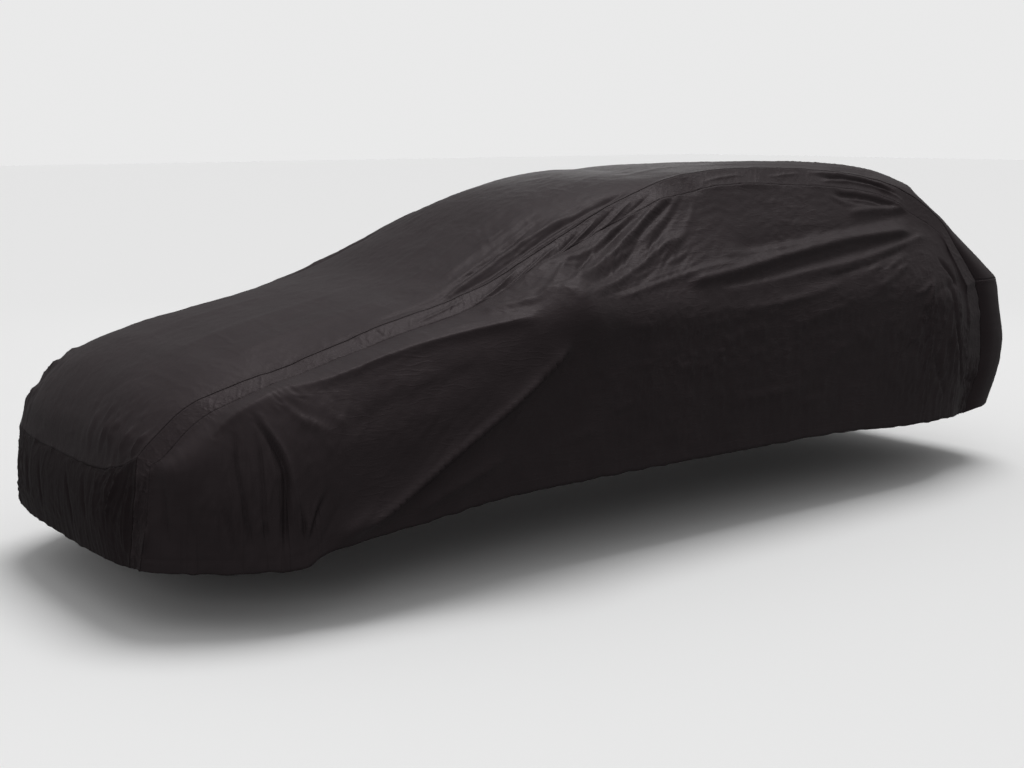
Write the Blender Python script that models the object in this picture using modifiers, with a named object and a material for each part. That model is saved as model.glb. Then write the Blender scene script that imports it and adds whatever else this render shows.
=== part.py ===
"""Fitted cover of an estate car, as it hangs on the car: a hollow shell of thin cloth, open below.

Metres, +Z up. The front faces -Y and the car's left side is +X. The origin lies on the underside of the
cloth over the roof, on the centre line, in the middle of the wheelbase. The tables give heights above the
road, and ROOF takes them down to the origin.

The maker's pieces are a nose panel, one long top panel, a tail panel, two side panels, and the two narrow
edge strips that join the side panels to the rest. Every panel is a grid of points carried from one named
section to the next, then given its thickness.
"""

import bpy
import numpy as np

ROOF = 1.454  # height of the underside of the cloth above the road at the origin
CLOTH = 0.0015  # thickness of the cloth
SEAM_GAP = 0.0011  # between two pieces along a seam, at the middle of the thickness
SEAM_PINCH = 0.035  # a fold dies away over this distance from a seam

# Sections of the long middle band of cloth, from the front hem to the rear hem. y0 and h0 are the middle of
# the band. x1, y1, h1 are its left edge, at the upper seam of the edge strip. Between them the band falls
# away as 1 - (1 - s^p)^q, with s the share of the half width: p and q set how square its corners are.
# x2, y2, h2 are the lower seam of the strip. drop is how much lower the right-hand seams hang, and steps is
# the number of mesh steps to the next row.
FRONT = """
name      y0     h0    x1    y1     h1    p    q
hem      -2.283  0.214 0.525 -2.256 0.216 4.0  1.0
low      -2.296  0.300 0.548 -2.258 0.302 4.0  1.0
mid      -2.300  0.390 0.562 -2.252 0.400 4.0  1.0
high     -2.290  0.460 0.568 -2.240 0.500 4.0  1.0
"""
TOP = """
name      y0     h0    x1    y1     h1    x2    y2     h2    drop  p    q    steps
corner   -2.272  0.512 0.565 -2.230 0.597 0.612 -2.207 0.572 0.070 4.0  1.0  2
lip      -2.235  0.650 0.580 -2.183 0.651 0.630 -2.165 0.602 0.030 3.8  1.0  2
bonnet1  -2.130  0.785 0.590 -2.065 0.744 0.645 -2.045 0.708 0.000 3.4  1.0  3
bonnet2  -1.980  0.870 0.598 -1.927 0.793 0.660 -1.904 0.762 -.005 3.2  1.0  3
arch     -1.850  0.908 0.599 -1.805 0.823 0.661 -1.782 0.797 -.005 3.1  1.0  3
bonnet3  -1.700  0.945 0.600 -1.682 0.849 0.662 -1.655 0.827 -.005 3.0  1.0  5
bonnet4  -1.340  1.010 0.600 -1.330 0.950 0.668 -1.315 0.912 0.010 2.6  1.0  5
scuttle  -1.020  1.075 0.600 -1.030 1.020 0.670 -1.020 0.980 0.000 2.6  1.0  5
screen1  -0.740  1.205 0.585 -0.772 1.095 0.645 -0.753 1.057 -.015 2.6  1.0  6
screen2  -0.430  1.355 0.545 -0.397 1.251 0.597 -0.370 1.210 -.010 2.4  1.0  5
header   -0.080  1.445 0.500  0.020 1.395 0.564  0.054 1.339 0.010 2.4  1.0  4
roof1     0.350  1.472 0.490  0.376 1.463 0.557  0.408 1.400 0.035 2.4  1.0  5
roof2     0.850  1.482 0.490  0.860 1.466 0.560  0.872 1.395 0.025 2.4  1.0  5
roof3     1.350  1.480 0.500  1.370 1.428 0.578  1.386 1.345 0.010 2.4  0.9  3
eave      1.760  1.445 0.585  1.605 1.350 0.640  1.570 1.258 0.010 2.6  0.8  2
slope1    1.945  1.270 0.670  1.765 1.225 0.710  1.730 1.150 0.000 3.0  0.7  2
slope2    2.115  1.070 0.745  1.833 1.075 0.775  1.755 1.045 0.000 5.0  0.5  2
tailseam  2.270  0.915 0.790  1.930 0.917 0.830  1.810 0.903 0.000 8.0  0.4  1
"""
REAR = """
name      y0     h0    x1    y1     h1    p    q
high      2.320  0.760 0.795  1.970 0.760 8.0  0.4
mid       2.350  0.610 0.798  1.990 0.610 8.0  0.4
low       2.340  0.450 0.790  1.975 0.450 8.0  0.4
hem       2.290  0.285 0.765  1.935 0.270 8.0  0.4
"""

# The side panel at the same sections: the hem, the widest place at the belt, and the shoulder above it. The
# panel's top edge is the strip's lower seam. Both ends of the panel are corner seams.
SIDE = """
name     xh    yh     hh    xb    hb    xs    hs
corner   0.572 -2.246 0.216 0.600 0.340 0.612 0.480
lip      0.670 -2.150 0.214 0.690 0.420 0.690 0.560
bonnet1  0.745 -2.055 0.214 0.765 0.470 0.735 0.640
bonnet2  0.830 -1.930 0.214 0.835 0.520 0.768 0.712
arch     0.888 -1.800 0.220 0.866 0.560 0.780 0.752
bonnet3  0.895 -1.700 0.262 0.885 0.600 0.792 0.786
bonnet4  0.885 -1.330 0.292 0.890 0.660 0.805 0.872
scuttle  0.880 -1.040 0.320 0.900 0.720 0.828 0.928
screen1  0.880 -0.790 0.330 0.900 0.760 0.870 0.975
screen2  0.880 -0.440 0.332 0.900 0.780 0.880 1.000
header   0.880  0.000 0.332 0.895 0.780 0.860 1.000
roof1    0.880  0.370 0.330 0.890 0.790 0.845 1.010
roof2    0.880  0.860 0.325 0.885 0.800 0.835 1.020
roof3    0.880  1.290 0.298 0.885 0.800 0.830 1.010
eave     0.875  1.480 0.292 0.885 0.790 0.835 0.980
slope1   0.860  1.620 0.288 0.882 0.740 0.840 0.930
slope2   0.838  1.735 0.280 0.866 0.650 0.848 0.850
tailseam 0.788  1.850 0.270 0.834 0.520 0.844 0.720
"""

# Folds of the left side panel: y and height of both ends, how far the middle bows off the straight line
# between them (to the left of it, looking along the fold), how far the fold stands out (or sinks in, where
# negative), and its half width.
LEFT_FOLDS = """
name         y0    h0    y1    h1    bow   out   width
arch        -1.66 0.30  -0.66 0.96  -.060 0.028 0.052
arch_low    -1.38 0.33  -1.04 0.46  0.000 0.016 0.040
screen_foot -0.56 1.04   0.14 1.37  -.005 0.025 0.034
window      -0.55 1.02   0.08 1.21  0.000 0.018 0.030
window_low  -0.50 1.02   0.23 1.10  -.012 0.012 0.028
pillar      -0.43 1.15  -0.02 1.33  0.000 0.011 0.030
rail         0.18 1.37  -0.11 1.19  0.000 0.010 0.028
belt        -0.56 1.00   0.57 1.09  -.008 0.012 0.032
long         0.10 1.04   1.48 1.16  0.025 0.026 0.046
long_under   0.12 1.01   1.58 1.15  0.005 -.016 0.042
second       0.10 0.98   1.64 1.15  -.020 0.015 0.036
upper_sink   0.55 1.16   1.60 1.25  0.015 -.018 0.045
upper_roll   1.18 1.26   1.58 1.25  0.004 0.015 0.034
pocket       1.14 1.31   1.50 1.26  0.000 -.034 0.040
crease       1.04 0.95   1.40 1.03  -.010 0.014 0.034
low_band     0.19 0.88   1.06 0.92  -.020 0.010 0.045
pleat1      -1.89 0.73  -1.85 0.24  0.020 -.020 0.032
pleat2      -1.98 0.68  -1.95 0.24  0.010 -.016 0.030
pleat3      -2.08 0.60  -2.07 0.24  0.000 -.012 0.028
pleat4      -1.70 0.66  -1.80 0.26  -.015 -.016 0.036
rear_pleat1  1.52 0.84   1.58 0.32  0.010 -.015 0.036
rear_pleat2  1.66 0.80   1.69 0.34  0.000 -.012 0.030
"""
# The right side panel isn't seen in the picture that the cover was built from: its folds are of the same
# kind, plainer and fewer.
RIGHT_FOLDS = """
name         y0    h0    y1    h1    bow   out   width
arch        -1.56 0.32  -0.68 0.94  -.040 0.026 0.052
screen_foot -0.55 1.05   0.06 1.35  0.010 0.022 0.036
window      -0.52 1.02   0.16 1.20  0.000 0.018 0.032
belt        -0.54 0.99   0.70 1.06  -.010 0.013 0.034
long         0.22 1.03   1.50 1.14  0.020 0.024 0.046
long_under   0.26 0.99   1.56 1.12  0.008 -.015 0.042
upper_sink   0.70 1.18   1.55 1.24  0.012 -.017 0.045
pleat1      -1.92 0.72  -1.88 0.24  0.015 -.017 0.032
pleat2      -2.05 0.62  -2.03 0.24  0.000 -.014 0.030
pleat3      -1.74 0.66  -1.78 0.26  -.010 -.016 0.034
rear_pleat   1.60 0.82   1.64 0.33  0.010 -.014 0.034
"""
# Folds of the top panel, seen from above: x and y of both ends.
TOP_FOLDS = """
name          x0    y0    x1    y1    bow   out   width
bonnet_end   0.56 -1.44  0.45 -0.70  0.020 -.012 0.040
screen_edge  0.51 -0.72  0.45 -0.22  0.000 -.010 0.034
bonnet_right -.55 -1.38  -.46 -0.74  -.015 -.010 0.040
screen_right -.51 -0.70  -.44 -0.26  0.000 -.010 0.034
"""
# A mirror lifts each side panel into a blunt tent, which sits lower and flatter on the right.
MIRRORS = """
name   y      h     out   reach
left   -.625  1.005 0.070 0.150
right  -.640  0.955 0.055 0.155
"""
LEFT, RIGHT = 1, -1  # the sign of x on each side
HANDS = {LEFT: "left", RIGHT: "right"}
UPPER, LOWER = ("x1", "y1", "h1"), ("x2", "y2", "h2")
UP_STEPS = (4, 3, 8)  # mesh steps from hem to belt, to shoulder, to seam
ACROSS_STEPS = 12
STRIP_STEPS = 2
STRIP_PUFF = 0.001  # how far the strip's middle stands out
BLACK = (0.0145, 0.0130, 0.0135)  # colour of the cloth
DEEP_BLACK = (0.0115, 0.0100, 0.0108)  # its colour on the two ends, which face away from the sky
SATIN = 0.5  # roughness of the cloth


def table(text):
    """The named columns of a table, as lists."""
    head, *rows = [line.split() for line in text.strip().splitlines()]
    return {
        name: [row[i] if name == "name" else float(row[i]) for row in rows]
        for i, name in enumerate(head)
    }


def joined(first, second):
    """Two tables one after the other, with the columns they share."""
    return {name: first[name] + second[name] for name in first if name in second}


def glide(values, at):
    """A smooth curve through rows numbered 0, 1, 2..., read at the places in at: between two rows it is a
    cubic that leaves each row along the line between that row's neighbours."""
    values = np.asarray(values, float)
    at = np.clip(np.asarray(at, float), 0, len(values) - 1)
    slope = np.gradient(values, axis=0)
    row = np.minimum(at.astype(int), len(values) - 2)
    f = (at - row).reshape(at.shape + (1,) * (values.ndim - 1))
    start = (1 + 2 * f) * (1 - f) ** 2 * values[row] + f * (1 - f) ** 2 * slope[row]
    end = f * f * (3 - 2 * f) * values[row + 1] + f * f * (f - 1) * slope[row + 1]
    return start + end


def points(rows, columns, at):
    return glide(np.stack([rows[name] for name in columns], axis=-1), at)


TOP_ROWS = table(TOP)
SIDE_ROWS = table(SIDE)
FIRST = {name: values[:1] for name, values in TOP_ROWS.items()}
LAST = {name: values[-1:] for name, values in TOP_ROWS.items()}
NOSE_ROWS = joined(table(FRONT), FIRST)
TAIL_ROWS = joined(LAST, table(REAR))


def stations(steps):
    """Places along a table, with the given number of mesh steps between each row and the next."""
    parts = [row + np.arange(count) / count for row, count in enumerate(steps)]
    return np.append(np.concatenate(parts), len(steps))


ALONG = stations([int(count) for count in TOP_ROWS["steps"][:-1]])
UP = stations(UP_STEPS)
UP_SHARE = UP / len(UP_STEPS)
NOSE_AT = UP_SHARE * (len(NOSE_ROWS["name"]) - 1)
TAIL_AT = (1 - UP_SHARE[::-1]) * (len(TAIL_ROWS["name"]) - 1)
ACROSS = np.sin(np.linspace(-1, 1, ACROSS_STEPS + 1) * np.pi / 2)


def drop_along(rows, at):
    """How much lower the right-hand seams hang. Below the nose and tail seams this fades out to the hem."""
    if rows is TOP_ROWS:
        return points(TOP_ROWS, ("drop",), at)[:, 0]
    share = at / (len(rows["name"]) - 1)
    return TOP_ROWS["drop"][0] * share if rows is NOSE_ROWS else TOP_ROWS["drop"][-1] * (1 - share)


def seam(rows, columns, at, hand):
    """A seam of one of the edge strips. The right-hand one is the left-hand one mirrored and hung lower."""
    x, y, h = points(rows, columns, at).T
    lower = drop_along(rows, at) if hand == RIGHT else 0
    return np.stack([hand * x, y, h - lower], axis=-1)


def band(rows, at):
    """A stretch of the middle band: point = middle + (edge - middle) * (1 - (1 - |s|^p)^q), with s running
    from the right edge to the left one and x in proportion to s."""
    middle = points(rows, ("y0", "h0"), at)[:, None]
    right = seam(rows, UPPER, at, RIGHT)[:, None]
    left = seam(rows, UPPER, at, LEFT)[:, None]
    p, q = points(rows, ("p", "q"), at).T[:, :, None]
    s = ACROSS[None, :]
    share = 1 - (1 - np.abs(s) ** p) ** q
    edge = np.where(s[..., None] < 0, right, left)
    y_and_h = middle + (edge[..., 1:] - middle) * share[..., None]
    x = edge[..., 0] * np.abs(s)
    return np.concatenate([x[..., None], y_and_h], axis=-1)


def side(hand):
    """A side panel: each section is a smooth curve through its hem, belt, shoulder and seam, which lie on
    one straight line as seen from the side."""
    top = seam(TOP_ROWS, LOWER, ALONG, hand)
    xh, yh, hh, xb, hb, xs, hs = points(SIDE_ROWS, ("xh", "yh", "hh", "xb", "hb", "xs", "hs"), ALONG).T
    run = (top[:, 1] - yh) / (top[:, 2] - hh)
    hem = np.stack([hand * xh, yh, hh], axis=-1)
    belt = np.stack([hand * xb, yh + run * (hb - hh), hb], axis=-1)
    shoulder = np.stack([hand * xs, yh + run * (hs - hh), hs], axis=-1)
    return glide(np.stack([hem, belt, shoulder, top]), UP).transpose(1, 0, 2)


def edges(hand):
    """The two seams of an edge strip: up the front corner, along the top, and down the rear corner."""
    nose = seam(NOSE_ROWS, UPPER, NOSE_AT, hand)
    top = seam(TOP_ROWS, UPPER, ALONG, hand)
    tail = seam(TAIL_ROWS, UPPER, TAIL_AT, hand)
    inner = np.concatenate([nose[:-1], top, tail[1:]])
    grid = side(hand)
    outer = np.concatenate([grid[0, :-1], grid[:, -1], grid[-1, ::-1][1:]])
    return inner, outer


def relief(places, text):
    """How far the cloth stands out at each place: the sum of the folds, each of them
    out * exp(-(d / width)^2), with d the distance to its bowed line."""
    total = np.zeros(places.shape[:-1])
    rows = table(text)
    ends = list(rows)[1:5]
    for *line, bow, out, width in zip(*(rows[name] for name in (*ends, "bow", "out", "width"))):
        run = np.array(line[2:]) - line[:2]
        length = np.hypot(*run)
        from_start = places - line[:2]
        share = from_start @ run / length**2
        inside = np.clip(share, 0, 1)
        off = (run[0] * from_start[..., 1] - run[1] * from_start[..., 0]) / length
        off -= bow * 4 * inside * (1 - inside)
        past = (share - inside) * length
        total += out * np.exp(-(off**2 + past**2) / width**2)
    return total


def mirror_tent(places, hand):
    """A mirror's blunt tent: out * exp(-(d / reach)^1.5), with d the distance to its tip."""
    rows = table(MIRRORS)
    row = rows["name"].index(HANDS[hand])
    y, h, out, reach = (rows[name][row] for name in ("y", "h", "out", "reach"))
    distance = np.hypot(places[..., 0] - y, places[..., 1] - h)
    return out * np.exp(-((distance / reach) ** 1.5))


def normals(grid):
    """The unit normal at each point of a grid, away from the inside of the cover."""
    normal = np.cross(np.gradient(grid, axis=0), np.gradient(grid, axis=1))
    normal /= np.linalg.norm(normal, axis=-1, keepdims=True)
    outwards = grid.mean(axis=(0, 1)) - (0, 0, ROOF / 2)
    return normal * np.sign(normal.mean(axis=(0, 1)) @ outwards)


def folded(grid, out, seams):
    """The grid moved out by its relief, which dies away towards the seams."""
    fade = np.ones(grid.shape[:2])
    for edge in seams:
        share = np.clip(np.linalg.norm(grid - grid[edge], axis=-1) / SEAM_PINCH, 0, 1)
        fade *= share * share * (3 - 2 * share)
    return grid + normals(grid) * (out * fade)[..., None]


def parted(grid, seams):
    """The grid drawn back from its seams by half the gap between two pieces."""
    moved = grid.copy()
    for edge, beside in seams:
        step = grid[beside] - grid[edge]
        step /= np.linalg.norm(step, axis=-1, keepdims=True)
        moved[edge] += step * SEAM_GAP / 2
    return moved


# Where a grid's edges lie, and the line of points next to each.
ALL = slice(None)
START = (slice(0, 1), ALL), (slice(1, 2), ALL)
END = (slice(-1, None), ALL), (slice(-2, -1), ALL)
LOW = (ALL, slice(0, 1)), (ALL, slice(1, 2))
HIGH = (ALL, slice(-1, None)), (ALL, slice(-2, -1))


def fabric(name, colour):
    material = bpy.data.materials.new(name)
    material.use_nodes = True
    shader = material.node_tree.nodes["Principled BSDF"]
    shader.inputs["Base Color"].default_value = (*colour, 1)
    shader.inputs["Roughness"].default_value = SATIN
    shader.inputs["Metallic"].default_value = 0
    return material


def cloth(name, grid, seams, colour, collection):
    """One piece of cloth: an open surface through the grid's points, thickened both ways."""
    grid = parted(grid, seams)
    rows, columns = grid.shape[:2]
    number = np.arange(rows * columns).reshape(rows, columns)
    faces = np.stack([number[:-1, :-1], number[1:, :-1], number[1:, 1:], number[:-1, 1:]], axis=-1)
    across = np.cross(grid[1, 0] - grid[0, 0], grid[0, 1] - grid[0, 0])
    if across @ normals(grid)[0, 0] < 0:
        faces = faces[..., ::-1]
    mesh = bpy.data.meshes.new(name)
    mesh.from_pydata((grid - (0, 0, ROOF)).reshape(-1, 3).tolist(), [], faces.reshape(-1, 4).tolist())
    mesh.shade_smooth()
    mesh.materials.append(fabric(name, colour))
    piece = bpy.data.objects.new(name, mesh)
    collection.objects.link(piece)
    thickness = piece.modifiers.new("thickness", "SOLIDIFY")
    thickness.thickness = CLOTH
    thickness.offset = 0
    return piece


def side_panel(hand, collection):
    grid = side(hand)
    places = grid[..., 1:]
    folds = LEFT_FOLDS if hand == LEFT else RIGHT_FOLDS
    seams = (START, END, HIGH)
    grid = folded(grid, relief(places, folds) + mirror_tent(places, hand), [edge for edge, _ in seams])
    cloth(f"{HANDS[hand]}_side_panel", grid, seams, BLACK, collection)


def edge_strip(hand, collection):
    """The strip between a side panel and the band, a little puffed between its two seams."""
    inner, outer = edges(hand)
    share = np.linspace(0, 1, STRIP_STEPS + 1)[None, :, None]
    grid = inner[:, None] * (1 - share) + outer[:, None] * share
    grid += normals(grid) * STRIP_PUFF * 4 * share * (1 - share)
    cloth(f"{HANDS[hand]}_edge_strip", grid, (LOW, HIGH), BLACK, collection)


def top_panel(collection):
    grid = band(TOP_ROWS, ALONG)
    seams = (START, END, LOW, HIGH)
    grid = folded(grid, relief(grid[..., :2], TOP_FOLDS), [edge for edge, _ in seams])
    cloth("top_panel", grid, seams, BLACK, collection)


def nose_panel(collection):
    cloth("nose_panel", band(NOSE_ROWS, NOSE_AT), (END, LOW, HIGH), DEEP_BLACK, collection)


def tail_panel(collection):
    cloth("tail_panel", band(TAIL_ROWS, TAIL_AT), (START, LOW, HIGH), DEEP_BLACK, collection)


def main():
    for piece in list(bpy.data.objects):
        bpy.data.objects.remove(piece)
    collection = bpy.data.collections.new("car_cover")
    bpy.context.scene.collection.children.link(collection)
    top_panel(collection)
    nose_panel(collection)
    tail_panel(collection)
    for hand in HANDS:
        side_panel(hand, collection)
        edge_strip(hand, collection)


if __name__ == "__main__":
    main()
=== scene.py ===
"""Looks of a fitted car cover of thin satin black cloth, drawn out to its full shape.

Metres, +Z up, in the frame of the part: the cover's front faces -Y, its left side is +X, and the origin is on
the underside of the cloth at the roof. The tables give heights above the floor, and ROOF takes them down to
that origin. Each piece of cloth is a grid of points: the smooth form of its solid, then its long folds, its
crinkles and the gathers of its hem, all moved out along the form's own normals.
"""

import math
from collections import namedtuple

import bpy
import numpy as np
from mathutils import Matrix, Vector


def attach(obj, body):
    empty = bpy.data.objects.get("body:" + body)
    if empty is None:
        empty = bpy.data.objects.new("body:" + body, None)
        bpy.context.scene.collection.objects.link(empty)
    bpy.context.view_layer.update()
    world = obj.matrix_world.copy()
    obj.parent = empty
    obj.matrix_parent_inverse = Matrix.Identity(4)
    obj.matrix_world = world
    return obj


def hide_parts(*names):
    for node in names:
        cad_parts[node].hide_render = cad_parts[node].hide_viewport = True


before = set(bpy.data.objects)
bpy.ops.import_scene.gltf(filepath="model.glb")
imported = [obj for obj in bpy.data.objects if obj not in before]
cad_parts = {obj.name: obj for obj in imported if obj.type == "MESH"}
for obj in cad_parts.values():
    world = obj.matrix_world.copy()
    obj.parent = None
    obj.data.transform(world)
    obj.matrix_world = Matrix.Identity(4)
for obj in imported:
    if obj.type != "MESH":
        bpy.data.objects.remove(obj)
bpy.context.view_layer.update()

ROOF = 1.454  # height of the underside of the cloth above the floor at the origin
CLOTH = 0.0012  # thickness of the cloth
SEAM_LAP = 0.002  # how far a strip runs on under the pieces beside it
LAP_TUCK = 0.0020  # and how far in it lies there
SEAM_TUCK = 0.0003  # how far the stitches draw an edge in
SEAM_PINCH = 0.026  # a fold dies away over this distance from a seam
SEAM_HOLD = 0.7  # the share of a fold that a seam still follows
SEAM_ENDS = 0.06  # the share of a seam's length over which it comes to rest at each end
HEM_CASING = 0.045  # height of the hem's casing, with the elastic in it

LEFT, RIGHT = 1, -1  # the sign of x on each side
HANDS = {LEFT: "left", RIGHT: "right"}
UPPER, LOWER = ("x1", "y1", "h1"), ("x2", "y2", "h2")

# Mesh steps: for each step of the TOP table, in the top panel and in a strip; from hem to belt to shoulder to
# seam; across the top panel and across a strip; and up and across the nose and the tail. EDGE is how much
# closer together they lie near a panel's edges.
ALONG_FINE, STRIP_FINE = 7, 16
UP_STEPS = (30, 16, 48)
ACROSS_STEPS, STRIP_STEPS = 104, 20
NOSE_STEPS, TAIL_STEPS = (60, 200), (84, 170)
ACROSS_EDGE, END_EDGE = 0.6, 0.3

# The form: sections of the middle band, from the front hem to the rear hem, and of the side panels. The
# columns are the part's own: the band's middle, its edge at the upper seam of the strip, the strip's lower
# seam, how much lower the right-hand seams hang, how square the band's corners are, and mesh steps. A side's
# sections go through its hem, its belt, its shoulder and the strip's lower seam.
FRONT = """
name      y0     h0    x1    y1     h1    p    q
hem      -2.283  0.214 0.525 -2.256 0.216 4.0  1.0
low      -2.296  0.300 0.548 -2.258 0.302 4.0  1.0
mid      -2.300  0.390 0.562 -2.252 0.400 4.0  1.0
high     -2.290  0.460 0.568 -2.240 0.500 4.0  1.0
"""
TOP = """
name      y0     h0    x1    y1     h1    x2    y2     h2    drop  p    q    steps
corner   -2.272  0.512 0.565 -2.230 0.597 0.612 -2.207 0.572 0.070 4.0  1.0  2
lip      -2.235  0.650 0.580 -2.183 0.651 0.630 -2.165 0.602 0.030 3.8  1.0  2
bonnet1  -2.130  0.785 0.590 -2.065 0.744 0.645 -2.045 0.708 0.000 3.4  1.0  3
bonnet2  -1.980  0.870 0.598 -1.927 0.793 0.660 -1.904 0.762 -.005 3.2  1.0  3
arch     -1.850  0.908 0.599 -1.805 0.823 0.661 -1.782 0.797 -.005 3.1  1.0  3
bonnet3  -1.700  0.945 0.600 -1.682 0.849 0.662 -1.655 0.827 -.005 3.0  1.0  5
bonnet4  -1.340  1.010 0.600 -1.330 0.950 0.668 -1.315 0.912 0.010 2.6  1.0  5
scuttle  -1.020  1.075 0.600 -1.030 1.020 0.670 -1.020 0.980 0.000 2.6  1.0  5
screen1  -0.740  1.205 0.585 -0.772 1.095 0.645 -0.753 1.057 -.015 2.6  1.0  6
screen2  -0.430  1.355 0.545 -0.397 1.251 0.597 -0.370 1.210 -.010 2.4  1.0  5
header   -0.080  1.445 0.500  0.020 1.395 0.564  0.054 1.339 0.010 2.4  1.0  4
roof1     0.350  1.472 0.490  0.376 1.463 0.557  0.408 1.400 0.035 2.4  1.0  5
roof2     0.850  1.482 0.490  0.860 1.466 0.560  0.872 1.395 0.025 2.4  1.0  5
roof3     1.350  1.480 0.500  1.370 1.428 0.578  1.386 1.345 0.010 2.4  0.9  3
eave      1.760  1.445 0.585  1.605 1.350 0.640  1.570 1.258 0.010 2.6  0.8  2
slope1    1.945  1.270 0.670  1.765 1.225 0.710  1.730 1.150 0.000 3.0  0.7  2
slope2    2.115  1.070 0.745  1.833 1.075 0.775  1.755 1.045 0.000 5.0  0.5  2
tailseam  2.270  0.915 0.790  1.930 0.917 0.830  1.810 0.903 0.000 8.0  0.4  1
"""
REAR = """
name      y0     h0    x1    y1     h1    p    q
high      2.320  0.760 0.795  1.970 0.760 8.0  0.4
mid       2.350  0.610 0.798  1.990 0.610 8.0  0.4
low       2.340  0.450 0.790  1.975 0.450 8.0  0.4
hem       2.290  0.285 0.765  1.935 0.270 8.0  0.4
"""
SIDE = """
name     xh    yh     hh    xb    hb    xs    hs    steps
corner   0.572 -2.246 0.216 0.600 0.340 0.612 0.480 16
lip      0.670 -2.150 0.214 0.690 0.420 0.690 0.560 14
bonnet1  0.745 -2.055 0.214 0.765 0.470 0.735 0.640 26
bonnet2  0.830 -1.930 0.214 0.835 0.520 0.768 0.712 26
arch     0.888 -1.800 0.220 0.866 0.560 0.780 0.752 18
bonnet3  0.895 -1.700 0.262 0.885 0.600 0.792 0.786 34
bonnet4  0.885 -1.330 0.292 0.890 0.660 0.805 0.872 34
scuttle  0.880 -1.040 0.320 0.900 0.720 0.828 0.928 28
screen1  0.880 -0.790 0.330 0.900 0.760 0.870 0.975 64
screen2  0.880 -0.440 0.332 0.900 0.780 0.880 1.000 76
header   0.880  0.000 0.332 0.895 0.780 0.860 1.000 40
roof1    0.880  0.370 0.330 0.890 0.790 0.845 1.010 44
roof2    0.880  0.860 0.325 0.885 0.800 0.835 1.020 34
roof3    0.880  1.290 0.298 0.885 0.800 0.830 1.010 20
eave     0.875  1.480 0.292 0.885 0.790 0.835 0.980 14
slope1   0.860  1.620 0.288 0.882 0.740 0.840 0.930 10
slope2   0.838  1.735 0.280 0.866 0.650 0.848 0.850 10
tailseam 0.788  1.850 0.270 0.834 0.520 0.844 0.720 1
"""
# The blunt tent on each side: its tip's y and height, how far it stands out, and its reach.
TENTS = """
name   y      h     out   reach
left   -.625  1.005 0.068 0.150
right  -.640  0.955 0.055 0.155
"""

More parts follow.
